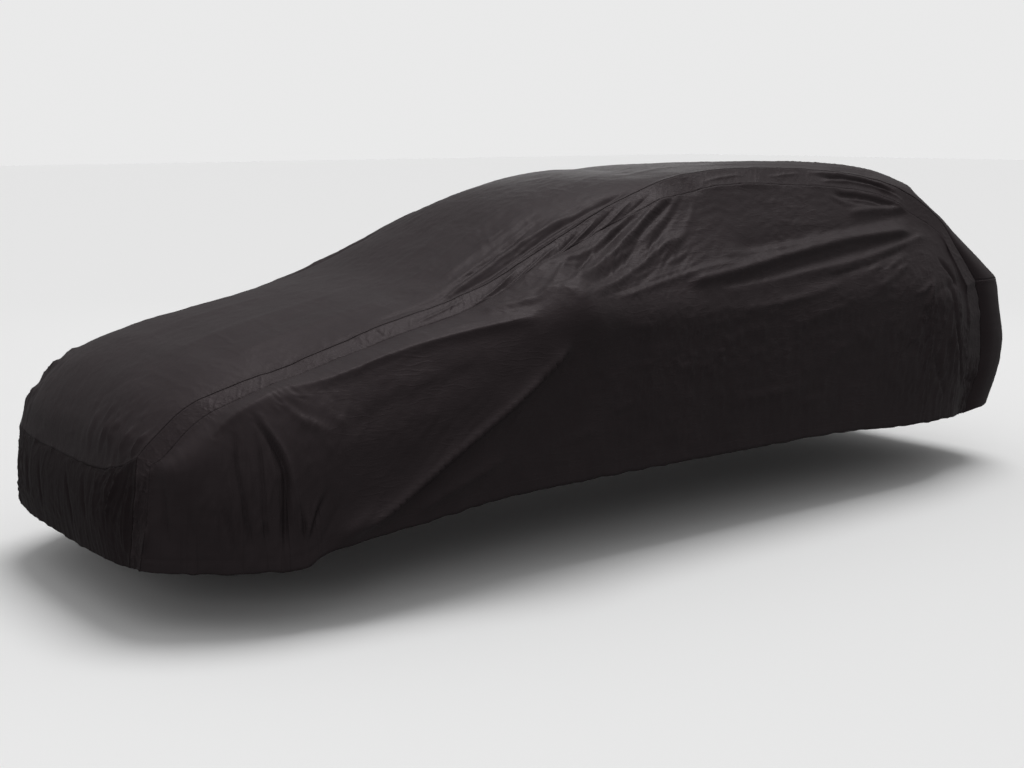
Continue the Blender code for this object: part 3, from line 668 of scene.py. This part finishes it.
def crumpled(places, seed):
    """The faint unevenness of the whole cloth: a slow swell, broad dents and small crinkles all over."""
    u, v = places[..., 0], places[..., 1]
    bend = relief(noise, BEND, u, v, seed + 3)
    swell = relief(noise, SWELL, u, v, seed)
    dents = relief(noise, DENTS, u, v, seed + 1, bend, -bend)
    return swell + dents + relief(ridges, SMALL, u, v, seed + 2, bend, bend)


def gathered(run, height, seed):
    """Gathers above a hem: upright pleats that fade with height, finer ones in the casing, and the crease
    along the casing's top."""
    drift = relief(noise, DRIFT, run, height, seed)
    pleats = relief(ridges, PLEATS, run, height, seed + 1, drift) * np.exp(-height / PLEATS_FADE)
    fine = relief(noise, FINE_PLEATS, run, height, seed + 2, drift) * np.exp(-height / FINE_FADE)
    return pleats + fine - CASING_SINK * np.exp(-(((height - HEM_CASING) / CASING_CREASE) ** 2))


def hem_waver(grid, height):
    """The hem's edge, drawn up and let down a little by its elastic. Pieces that meet at the hem share it."""
    x, y = grid[..., 0], grid[..., 1]
    rise = relief(noise, HEM_WAVER, x + y, x - y, 5) * np.exp(-height / WAVER_FADE)
    return rise[..., None] * (0, 0, 1)


def side_folds(places, hand):
    """A side panel's folds and its blunt tent: out * exp(-(d / reach)^1.5), with d the distance to the
    tent's tip."""
    rows = table(TENTS)
    row = rows["name"].index(HANDS[hand])
    y, h, out, reach = (rows[name][row] for name in ("y", "h", "out", "reach"))
    distance = np.hypot(places[..., 0] - y, places[..., 1] - h)
    folds = LEFT_FOLDS if hand == LEFT else RIGHT_FOLDS
    return folded(places, folds) + out * np.exp(-((distance / reach) ** 1.5))


def corner_relief(width, height, hand):
    """The strips' upright pleats and crumple at the corners of the cover, up to CORNER_TOP."""
    sway = relief(noise, SWAY, height, width, 35)
    upright = relief(ridges, UPRIGHT, width, height, 33 + hand, sway)
    raked = width + CRUMPLE_RAKE[0] * height, height - CRUMPLE_RAKE[1] * width
    return upright + relief(ridges, CRUMPLE, *raked, 37 + hand)


# ---------------------------------------------------------------- seams

# Where a grid's edges lie, and the line of points next to each.
ALL = slice(None)
START = (slice(0, 1), ALL), (slice(1, 2), ALL)
END = (slice(-1, None), ALL), (slice(-2, -1), ALL)
LOW = (ALL, slice(0, 1)), (ALL, slice(1, 2))
HIGH = (ALL, slice(-1, None)), (ALL, slice(-2, -1))

# Each seam's seed, the way it wavers (x for the left hand, y for the rear) and by how much.
LOWER_SEED, UPPER_SEED, FRONT_SEED, BACK_SEED = 41, 47, 71, 75
NOSE_SEED, TAIL_SEED, NOSE_CORNER, TAIL_CORNER = 81, 85, 91, 95
LOWER_WAY, UPPER_WAY, CORNER_WAY, END_WAY = (0.5, 0, 0.86), (0.4, 0, 0.91), (0.75, 0.6, 0), (0, 0.5, 0.8)
LONG_WAVER, CORNER_WAVER, END_WAVER = 0.0034, 0.011, 0.004
SLOW, QUICK = Relief(1.8, 0.16, 1), Relief(1, 0.055, 1)
END_CRUMPLE, WORST_AT, WORST_REACH, WORST = Relief(0.006, 0.09, 1), 0.42, 0.15, 1.4


def seam_distance(grid, edges):
    """How far each point lies from the nearest of the edges, measured along its own grid line."""
    return np.min([np.linalg.norm(grid - grid[edge], axis=-1) for edge, _ in edges], axis=0)


def draped(grid, out, seams):
    """The grid moved out by its relief. Towards a seam the relief dies away and the seam's own shift takes
    over, so that both pieces meet, and the stitches draw the edge in."""
    normal = normals(grid)
    fade = np.ones(grid.shape[:2])
    moved = grid.copy()
    for (edge, _), shift in seams:
        share = smooth(np.linalg.norm(grid - grid[edge], axis=-1) / SEAM_PINCH)
        fade *= share
        moved += shift.reshape(grid[edge].shape) * (1 - share)[..., None]
    moved += normal * (out * fade)[..., None]
    for (edge, _), _ in seams:
        moved[edge] -= normal[edge] * SEAM_TUCK
    return moved


def shift(out, along, way, hand=LEFT, forward=1):
    """A seam's own movement, out metres that way, and nought at both its ends, where it meets others."""
    place = (along - along[0]) / (along[-1] - along[0])
    still = smooth(place / SEAM_ENDS) * smooth((1 - place) / SEAM_ENDS)
    return (out * still)[:, None] * np.multiply(way, (hand, forward, 1))


def wave(run, seed, size):
    """The small unevenness of a seam line: size * (a slow noise along it and a quick one)."""
    return size * (relief(noise, SLOW, run, 0, seed) + relief(noise, QUICK, run, 0, seed + 9))


def lower_shift(at, hand):
    """The lower seam follows the side panel's folds a little."""
    line = seam(TOP_ROWS, LOWER, at, hand)
    out = SEAM_HOLD * side_folds(line[:, 1:], hand) + wave(line[:, 1], LOWER_SEED + hand, LONG_WAVER)
    return shift(out, at, LOWER_WAY, hand)


def upper_shift(at, hand):
    """The upper seam follows the top panel's folds a little."""
    line = seam(TOP_ROWS, UPPER, at, hand)
    out = SEAM_HOLD * folded(line[:, :2], TOP_FOLDS) + wave(line[:, 1], UPPER_SEED + hand, LONG_WAVER)
    return shift(out, at, UPPER_WAY, hand)


def corner_shift(line, hand, forward, seed):
    """The upright seams at a corner of the cover waver sideways and out."""
    height = line[:, 2]
    return shift(wave(height, seed + hand, CORNER_WAVER), height, CORNER_WAY, hand, forward)


def end_shift(line, forward, seed):
    """The seam across the nose or the tail, crumpled by the two panels' unequal pull, and most of all at
    WORST_AT."""
    x = line[:, 0]
    worst = 1 + WORST * np.exp(-(((x - WORST_AT) / WORST_REACH) ** 2))
    out = wave(x, seed, END_WAVER) + worst * relief(ridges, END_CRUMPLE, x, 0, seed)
    return shift(out, x, END_WAY, forward=forward)


# ---------------------------------------------------------------- materials

BLACK = (0.0350, 0.0280, 0.0298)
# Painted shade: the nose panel is the same cloth as BLACK, given a darker base colour because it faces away from
# the light.
NOSE_SHADED_BLACK = (0.0240, 0.0185, 0.0198)
# Painted shade: the tail panel is the same cloth as BLACK, a little darker because it faces away from the light.
TAIL_SHADED_BLACK = (0.0330, 0.0262, 0.0280)
COATING_TINT = (1, 0.82, 0.86, 1)
# How far each kind of relief stands out of the cloth, in the material.
DEPTH = {"fine": 0.0011, "small": 0.0004, "puckers": 0.0006, "weave": 0.00003, "stitch": 0.0004, "groove": 0.0005}
WEAVE, STITCH = 0.0011, 0.0042  # the length of one thread and of one stitch
THREAD, THREAD_EDGE = 0.0004, 0.0011  # from a row's middle, where its thread starts and ends to fall away
SEAM_GROOVE, STITCH_ROW = 0.004, 0.008  # half the groove of a seam, and how far its stitches lie from it
PUCKER, PUCKER_REACH = 0.022, 0.045  # a pucker's size, and how far from a seam they reach
GATHER_LONG, GATHER_WIDE, GATHER_REACH = 0.60, 0.030, 0.46  # upright creases, and how high they reach
GATHER_START, DRAWN_OUT = 0.2, 0.85  # they set in over this length, and draw out that share of the others


class Value:
    """A shader value. Sums, products and the like of values add their own Math nodes."""

    def __init__(self, nodes, socket):
        self.nodes, self.socket = nodes, socket

    def math(self, operation, *others):
        return self.nodes.node("ShaderNodeMath", {"operation": operation}, (self, *others))

    def __add__(self, other):
        return self.math("ADD", other)

    def __sub__(self, other):
        return self.math("SUBTRACT", other)

    def __mul__(self, other):
        return self.math("MULTIPLY", other)

    def __pow__(self, other):
        return self.math("POWER", other)

    def __rsub__(self, other):
        return self.nodes.node("ShaderNodeMath", {"operation": "SUBTRACT"}, (other, self))

    __radd__ = __add__
    __rmul__ = __mul__

    def size(self):
        return self.math("ABSOLUTE")

    def ripple(self, length):
        """A sine wave from -1 to 1, of that length."""
        return (self * (2 * math.pi / length)).math("SINE")

    def between(self, low, high, start=0.0, end=1.0):
        """From start to end as the value goes from low to high, held level outside."""
        return self.nodes.node(
            "ShaderNodeMapRange", {"interpolation_type": "SMOOTHSTEP"}, (self, low, high, start, end)
        )


class Nodes:
    """A node tree, of a material or of the sky."""

    def __init__(self, tree):
        self.tree = tree

    def put(self, socket, value):
        """Links a value to a socket, or sets the socket's own."""
        if isinstance(value, Value):
            self.tree.links.new(value.socket, socket)
        else:
            socket.default_value = value

    def node(self, kind, settings, inputs, output=0):
        """Adds a node of that kind, with its settings, then the values or links of its sockets."""
        made = self.tree.nodes.new(kind)
        for name, value in settings.items():
            setattr(made, name, value)
        for key, value in inputs.items() if isinstance(inputs, dict) else enumerate(inputs):
            self.put(made.inputs[key], value)
        return Value(self, made.outputs[output])


class Finish(Nodes):
    """One material and its shader."""

    def __init__(self, name):
        self.material = bpy.data.materials.new(name)
        self.material.use_nodes = True
        super().__init__(self.material.node_tree)
        self.shader = self.tree.nodes["Principled BSDF"]

    def set(self, **sockets):
        """Sets or links the shader's sockets by name."""
        for name, value in sockets.items():
            self.put(self.shader.inputs[name.replace("_", " ")], value)

    def speckle(self, where, scale, detail, rough=0.5):
        """A flat cloud of noise from 0 to 1."""
        return self.node(
            "ShaderNodeTexNoise",
            {"noise_dimensions": "2D"},
            {"Vector": where, "Scale": scale, "Detail": detail, "Roughness": rough},
        )

    def creases(self, where, long, wide, sharp, scale=1.0):
        """Thin creases, 1 on the lines where a noise of that length and width crosses its middle and 0 away
        from them: (1 - sharp * |noise - 0.5|)^1.5."""
        drawn = self.node("ShaderNodeVectorMath", {"operation": "MULTIPLY"}, (where, (1 / long, 1 / wide, 1)))
        middle = self.speckle(drawn, scale, detail=1.0) - 0.5
        return (1 - (middle * sharp).size()).math("MAXIMUM", 0.0) ** 1.5


def thread_row(distance, at):
    """1 along a row of thread that lies that far from an edge, and 0 beside it."""
    return (distance - at).size().between(THREAD, THREAD_EDGE, 1.0, 0.0)


def satin_cloth(name, colour, long, wide, lively, shine, gathers=0.0, gathers_from=0.0):
    """Thin coated cloth: satin black, with fine creases that long and wide, thin upright ones above the hem
    from gathers_from metres off its middle, a taffeta weave, a groove and two rows of stitches at each seam,
    and the row that closes the hem's casing. lively scales the creases, gathers is the upright ones' height
    and shine the coating's."""
    finish = Finish(name)
    where = finish.node("ShaderNodeUVMap", {"uv_map": "cloth"}, ())
    seam_at = finish.node("ShaderNodeAttribute", {"attribute_name": "seam"}, (), "Fac")
    hem_at = finish.node("ShaderNodeAttribute", {"attribute_name": "hem"}, (), "Fac")
    along = finish.node("ShaderNodeSeparateXYZ", {}, (where,), 0)
    up = finish.node("ShaderNodeSeparateXYZ", {}, (where,), 1)

    patches = finish.speckle(where, scale=5.0, detail=3.0, rough=0.6)
    near_end = along.size().between(gathers_from, gathers_from + GATHER_START)
    slack = 1 - near_end * DRAWN_OUT if gathers else 1.0
    fine = finish.creases(where, long, wide, sharp=9.0, scale=0.8) * patches.between(0.35, 0.65) * slack
    small = finish.creases(where, long, wide, sharp=6.0, scale=2.1) * slack
    upright = finish.creases(where, GATHER_WIDE, GATHER_LONG, sharp=7.0)
    upright = upright * hem_at.between(0.0, GATHER_REACH, 1.0, 0.0) * near_end
    weave = along.ripple(WEAVE) * up.ripple(WEAVE)

    groove = 1 - seam_at.between(0.0, SEAM_GROOVE)
    rows = (thread_row(seam_at, STITCH_ROW) + thread_row(hem_at, HEM_CASING)).math("MINIMUM", 1.0)
    stitch = rows * (along + up).ripple(STITCH).between(-0.35, 0.2)
    puckers = finish.creases(where, PUCKER, PUCKER, sharp=5.0)
    puckers = puckers * seam_at.between(SEAM_GROOVE, PUCKER_REACH, 1.0, 0.0)

    height = (
        fine * (DEPTH["fine"] * lively)
        + small * (DEPTH["small"] * lively)
        + upright * gathers
        + puckers * DEPTH["puckers"]
        + weave * DEPTH["weave"]
        + stitch * DEPTH["stitch"]
        - groove * DEPTH["groove"]
    )
    # The seam groove darkens the colour by 12 %: painted shade in the groove. The patches are the cloth's own
    # uneven tone, and the stitch rows are lighter.
    shade = (0.86 + 0.28 * patches) * (1 - 0.12 * groove) * (1 + 0.4 * stitch)
    bright = (*(2 * part for part in colour), 1)  # mixed with black by half the shade
    finish.set(
        Base_Color=finish.node(
            "ShaderNodeMix", {"data_type": "RGBA"}, {0: shade * 0.5, 6: (0, 0, 0, 1), 7: bright}, 2
        ),
        Roughness=0.43 + 0.10 * patches + 0.05 * small,
        Metallic=0.0,
        IOR=1.45,
        Specular_IOR_Level=shine,
        Specular_Tint=COATING_TINT,
        Normal=finish.node("ShaderNodeBump", {}, {"Strength": 1.0, "Distance": 1.0, "Height": height}),
    )
    return finish.material


# ---------------------------------------------------------------- the pieces of cloth

NO_HEM = 1.0  # the height above the hem that a piece without one carries
# A side's hem is gathered ahead of the first place and behind the second, over these lengths, and almost
# tight between them. The ends' hems are gathered this little.
SLACK_AHEAD, AHEAD_OVER, SLACK_BEHIND, BEHIND_OVER, TIGHT = -1.62, 0.2, 1.40, 0.3, 0.1
END_GATHERS = 0.25


def put(name, data):
    """A new object with that data, in the scene."""
    made = bpy.data.objects.new(name, data)
    bpy.context.scene.collection.objects.link(made)
    return made


def cloth(name, grid, edges, hem, places, material):
    """One piece of cloth: an open surface through the grid's points, thickened both ways. It carries its own
    flat coordinates, the distance to the nearest of its sewn edges and the height above its hem."""
    rows, columns = grid.shape[:2]
    number = np.arange(rows * columns).reshape(rows, columns)
    faces = np.stack([number[:-1, :-1], number[1:, :-1], number[1:, 1:], number[:-1, 1:]], axis=-1)
    across = np.cross(grid[1, 0] - grid[0, 0], grid[0, 1] - grid[0, 0])
    if across @ normals(grid)[0, 0] < 0:
        faces = faces[..., ::-1]
    mesh = bpy.data.meshes.new(name)
    mesh.from_pydata((grid - (0, 0, ROOF)).reshape(-1, 3), [], faces.reshape(-1, 4))
    mesh.shade_smooth()
    corners = np.zeros(len(mesh.loops), int)
    mesh.loops.foreach_get("vertex_index", corners)
    flat = mesh.uv_layers.new(name="cloth")
    flat.data.foreach_set("uv", places.reshape(-1, 2)[corners].astype(np.float32).ravel())
    for kind, values in (("seam", seam_distance(grid, edges)), ("hem", hem)):
        carried = mesh.attributes.new(kind, "FLOAT", "POINT")
        carried.data.foreach_set("value", values.astype(np.float32).ravel())
    mesh.materials.append(material)
    piece = put(name, mesh)
    thickness = piece.modifiers.new("thickness", "SOLIDIFY")
    thickness.thickness = CLOTH
    thickness.offset = 0
    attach(piece, "root")
    return piece


def side_cloth(hand, material):
    """A side panel, with one more line of points close to the strip's seam."""
    along = stations(SIDE_STEPS)
    up = stations(UP_STEPS)
    up = np.insert(up, -1, (up[-1] + up[-2]) / 2)
    grid = side(hand, along, up)
    places = grid[..., 1:].copy()
    y, height = places[..., 0], places[..., 1] - places[:, :1, 1]
    grid += hem_waver(grid, height)
    slack = np.maximum(smooth((SLACK_AHEAD - y) / AHEAD_OVER), smooth((y - SLACK_BEHIND) / BEHIND_OVER))
    out = (
        side_folds(places, hand)
        + crinkled(places, LEFT_CRINKLES if hand == LEFT else RIGHT_CRINKLES)
        + crumpled(places, seed=12 + hand)
        + (TIGHT + (1 - TIGHT) * slack) * gathered(y, height, seed=60 + hand)
    )
    seams = [
        (START, corner_shift(grid[0], hand, -1, FRONT_SEED)),
        (END, corner_shift(grid[-1], hand, 1, BACK_SEED)),
        (HIGH, lower_shift(along, hand)),
    ]
    edges = [edge for edge, _ in seams]
    piece = cloth(f"{HANDS[hand]}_side_cloth", draped(grid, out, seams), edges, height, places, material)
    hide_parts(f"{HANDS[hand]}_side_panel")


def band_across(steps, edge):
    """Places from the right edge of the band to the left one, closer together near the edges."""
    s = np.linspace(-1, 1, steps + 1)
    return (1 - edge) * s + edge * np.sin(s * math.pi / 2)


def top_cloth(material):
    """The long panel from the nose seam over the roof to the tail seam."""
    along = stations([count * ALONG_FINE for count in TOP_STEPS])
    grid = band(TOP_ROWS, along, band_across(ACROSS_STEPS, ACROSS_EDGE))
    run = run_along(grid[:, grid.shape[1] // 2])
    places = np.stack(np.broadcast_arrays(grid[..., 0], run[:, None]), axis=-1)
    plan = grid[..., :2]
    out = folded(plan, TOP_FOLDS) + crinkled(plan, TOP_CRINKLES) + crumpled(places, seed=3)
    seams = [
        (START, end_shift(grid[0], -1, NOSE_SEED)),
        (END, end_shift(grid[-1], 1, TAIL_SEED)),
        (LOW, upper_shift(along, RIGHT)),
        (HIGH, upper_shift(along, LEFT)),
    ]
    edges = [edge for edge, _ in seams]
    hem = np.full(grid.shape[:2], NO_HEM)
    piece = cloth("top_cloth", draped(grid, out, seams), edges, hem, places, material)
    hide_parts("top_panel")


def end_cloth(end, material, rows, steps, folds, crinkles, seed):
    """The nose or the tail panel, from its seam with the top panel down to its hem."""
    nose = end == "nose"
    at = np.linspace(0, len(rows["name"]) - 1, steps[0] + 1)
    grid = band(rows, at, band_across(steps[1], END_EDGE))
    places = np.stack([grid[..., 0], grid[..., 2]], axis=-1)
    height = places[..., 1] - (places[:1, :, 1] if nose else places[-1:, :, 1])
    grid += hem_waver(grid, height)
    out = (
        folded(places, folds)
        + crinkled(places, crinkles)
        + crumpled(places, seed)
        + END_GATHERS * gathered(places[..., 0], height, seed + 2)
    )
    if nose:
        joint, line, forward, seam_seed, corner_seed = END, grid[-1], -1, NOSE_SEED, NOSE_CORNER
    else:
        joint, line, forward, seam_seed, corner_seed = START, grid[0], 1, TAIL_SEED, TAIL_CORNER
    seams = [
        (joint, end_shift(line, forward, seam_seed)),
        (LOW, corner_shift(grid[:, 0], RIGHT, forward, corner_seed)),
        (HIGH, corner_shift(grid[:, -1], LEFT, forward, corner_seed)),
    ]
    edges = [edge for edge, _ in seams]
    piece = cloth(f"{end}_cloth", draped(grid, out, seams), edges, height, places, material)
    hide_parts(f"{end}_panel")


def strip_edges(hand):
    """The strip's two edges, each from the front hem up the corner, along the top and down to the rear hem,
    and how far each is shifted: the inner one at the nose, top and tail panels, the outer one at the side."""
    along = stations([count * STRIP_FINE for count in TOP_STEPS])
    up = stations(UP_STEPS)
    share = up / len(UP_STEPS)
    nose = seam(NOSE_ROWS, UPPER, share * (len(NOSE_ROWS["name"]) - 1), hand)
    tail = seam(TAIL_ROWS, UPPER, (1 - share[::-1]) * (len(TAIL_ROWS["name"]) - 1), hand)
    front, back = side(hand, np.array([0, SPANS]), up)
    back = back[::-1]
    inner = nose, seam(TOP_ROWS, UPPER, along, hand), tail
    outer = front, seam(TOP_ROWS, LOWER, along, hand), back
    inner_shift = (
        corner_shift(nose, hand, -1, NOSE_CORNER),
        upper_shift(along, hand),
        corner_shift(tail, hand, 1, TAIL_CORNER),
    )
    outer_shift = (
        corner_shift(front, hand, -1, FRONT_SEED),
        lower_shift(along, hand),
        corner_shift(back, hand, 1, BACK_SEED),
    )
    return [
        np.concatenate([first[:-1], middle, last[1:]])
        for first, middle, last in (inner, outer, inner_shift, outer_shift)
    ]


def strip_cloth(hand, material):
    """The strip round a side panel, puckered between its two rows of stitches: it stands out by its relief
    times (4 * s * (1 - s))^PUFF, with s from edge to edge. Its edges run on under the pieces beside it."""
    inner, outer, inner_shift, outer_shift = strip_edges(hand)
    s = np.linspace(0, 1, STRIP_STEPS + 1)[None, :, None]
    grid = inner[:, None] * (1 - s) + outer[:, None] * s
    grid += inner_shift[:, None] * (1 - s) + outer_shift[:, None] * s
    run = run_along(inner)[:, None]
    width = np.linalg.norm(outer - inner, axis=-1)[:, None] * s[..., 0]
    places = np.stack(np.broadcast_arrays(run, width), axis=-1)
    puff = (4 * s * (1 - s))[..., 0] ** PUFF
    lively = CALM + LIVELIER * np.clip(noise(run / LIVELY_RUN, 0, 28 + hand) + 0.5, 0, 1)
    leaning = relief(ridges, LEANING, run, width, 20 + hand, width / LEANING_RUN)
    crossing = relief(ridges, CROSSING, run, width, 24 + hand, width / CROSSING_RUN)
    out = puff * lively * (leaning + crossing)
    if hand == LEFT:
        out = out + puff * folded(np.stack([grid[..., 1], width], axis=-1), STRIP_FOLDS)
    level = grid[..., 2]
    height = np.minimum(level - level[0, 0], NO_HEM)
    out = out + puff * smooth((CORNER_TOP - level) / CORNER_FADE) * corner_relief(width, height, hand)
    hem_level = np.where(run < run[-1] / 2, level[0, 0], level[-1, 0])
    grid = grid + hem_waver(grid, level - hem_level)
    grid = grid + normals(grid) * out[..., None]
    for edge, beside in (LOW, HIGH):
        step = grid[beside] - grid[edge]
        step /= np.linalg.norm(step, axis=-1, keepdims=True)
        grid[edge] -= step * SEAM_LAP + normals(grid)[edge] * LAP_TUCK
    piece = cloth(f"{HANDS[hand]}_strip_cloth", grid, [LOW, HIGH], height, places, material)
    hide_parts(f"{HANDS[hand]}_edge_strip")


side_material = satin_cloth(
    "satin_side", BLACK, 0.11, 0.026, lively=0.65, shine=0.13, gathers=0.0019, gathers_from=1.55
)
top_material = satin_cloth("satin_top", BLACK, 0.04, 0.05, lively=0.25, shine=0.13)
# The nose material's darker base colour is painted shade on the same cloth.
nose_material = satin_cloth("satin_nose", NOSE_SHADED_BLACK, 0.030, 0.08, lively=0.2, shine=0.05, gathers=0.0006)
# The tail material's darker base colour is painted shade on the same cloth.
tail_material = satin_cloth("satin_tail", TAIL_SHADED_BLACK, 0.030, 0.08, lively=0.2, shine=0.13, gathers=0.0012)
strip_material = satin_cloth("satin_strip", BLACK, 0.04, 0.04, lively=0.6, shine=0.15)

top_cloth(top_material)
end_cloth(
    "nose", nose_material, NOSE_ROWS, NOSE_STEPS, NOSE_FOLDS, NOSE_CRINKLES, seed=51
)
end_cloth(
    "tail", tail_material, TAIL_ROWS, TAIL_STEPS, TAIL_FOLDS, TAIL_CRINKLES, seed=55
)
for hand in HANDS:
    side_cloth(hand, side_material)
    strip_cloth(hand, strip_material)

# ---------------------------------------------------------------- floor, light and camera

FLOOR = 60.0  # half the floor's width


def floor():
    """A square pale floor under the cover, ROOF below the origin."""
    mesh = bpy.data.meshes.new("floor")
    corners = [(x * FLOOR, y * FLOOR, -ROOF) for x, y in ((-1, -1), (1, -1), (1, 1), (-1, 1))]
    mesh.from_pydata(corners, [], [(0, 1, 2, 3)])
    finish = Finish("pale_floor")
    finish.set(Base_Color=(0.86, 0.86, 0.86, 1), Roughness=0.9, Specular_IOR_Level=0.1)
    mesh.materials.append(finish.material)
    plane = put("floor", mesh)
    plane.visible_diffuse = False  # the cloth stays free of the floor's own glare
    plane.visible_glossy = False


def direction(azimuth, elevation):
    """The way out from the origin at that azimuth from +X and that elevation, in degrees."""
    turn, rise = math.radians(azimuth), math.radians(elevation)
    return Vector((math.cos(turn) * math.cos(rise), math.sin(turn) * math.cos(rise), math.sin(rise)))


def facing(away):
    """The turn of a light that shines against that direction."""
    return away.to_track_quat("Z", "Y").to_euler()


def softbox(name, place, target, size, watts):
    """A square area light at place that faces target."""
    light = bpy.data.lights.new(name, "AREA")
    light.shape, light.size, light.energy = "SQUARE", size, watts
    lamp = put(name, light)
    lamp.location = place
    lamp.rotation_euler = facing(Vector(place) - Vector(target))


def sun(strength, angle, azimuth, elevation):
    """A high soft light from that side, angle degrees wide."""
    light = bpy.data.lights.new("sun", "SUN")
    light.energy, light.angle = strength, math.radians(angle)
    put("sun", light).rotation_euler = facing(direction(azimuth, elevation))


def sky(low, high, seen):
    """A pale sky, dim below and bright overhead: low + (high - low) * ((1 + z) / 2)^2.5, with z the height
    that a ray points to. The camera sees it evenly bright."""
    world = bpy.data.worlds.new("studio")
    bpy.context.scene.world = world
    world.use_nodes = True
    nodes = Nodes(world.node_tree)
    way = nodes.node("ShaderNodeTexCoord", {}, (), "Generated")
    z = nodes.node("ShaderNodeSeparateXYZ", {}, (way,), "Z")
    lit = low + (high - low) * (0.5 + 0.5 * z) ** 2.5
    to_camera = nodes.node("ShaderNodeLightPath", {}, (), "Is Camera Ray")
    light = nodes.tree.nodes["Background"]
    light.inputs["Color"].default_value = (1, 1, 1, 1)
    nodes.put(light.inputs["Strength"], lit + to_camera * (seen - lit))


def camera(place, azimuth, elevation, roll, lens, width):
    """A camera at a place, azimuth degrees round from the front towards the left and elevation up, rolled
    about its view, with its lens and the width of its frame in millimetres."""
    back, level = direction(azimuth - 90, elevation), direction(azimuth, 0)
    upright = back.cross(level)
    turn = math.radians(roll)
    right = level * math.cos(turn) + upright * math.sin(turn)
    up = upright * math.cos(turn) - level * math.sin(turn)
    eye = bpy.data.cameras.new("camera")
    eye.sensor_width, eye.lens, eye.clip_end = width, lens, 300.0
    seat = put("camera", eye)
    seat.matrix_world = Matrix.Translation(place) @ Matrix((right, up, back)).transposed().to_4x4()
    bpy.context.scene.camera = seat


floor()
sky(low=0.17, high=0.58, seen=0.82)
sun(strength=1.6, angle=30, azimuth=112, elevation=72)
softbox("rim", place=(-5.2, 4.4, 1.6), target=(0, 0, 0), size=2.5, watts=26)
softbox("front", place=(5.6, -7.4, 2.2), target=(0.9, 0, -0.7), size=2.0, watts=38)
camera((4.919, -4.021, 1.648 - ROOF), azimuth=52.673, elevation=10.124, roll=-0.108, lens=50.55, width=36.0)
bpy.context.scene.view_settings.view_transform = "Standard"
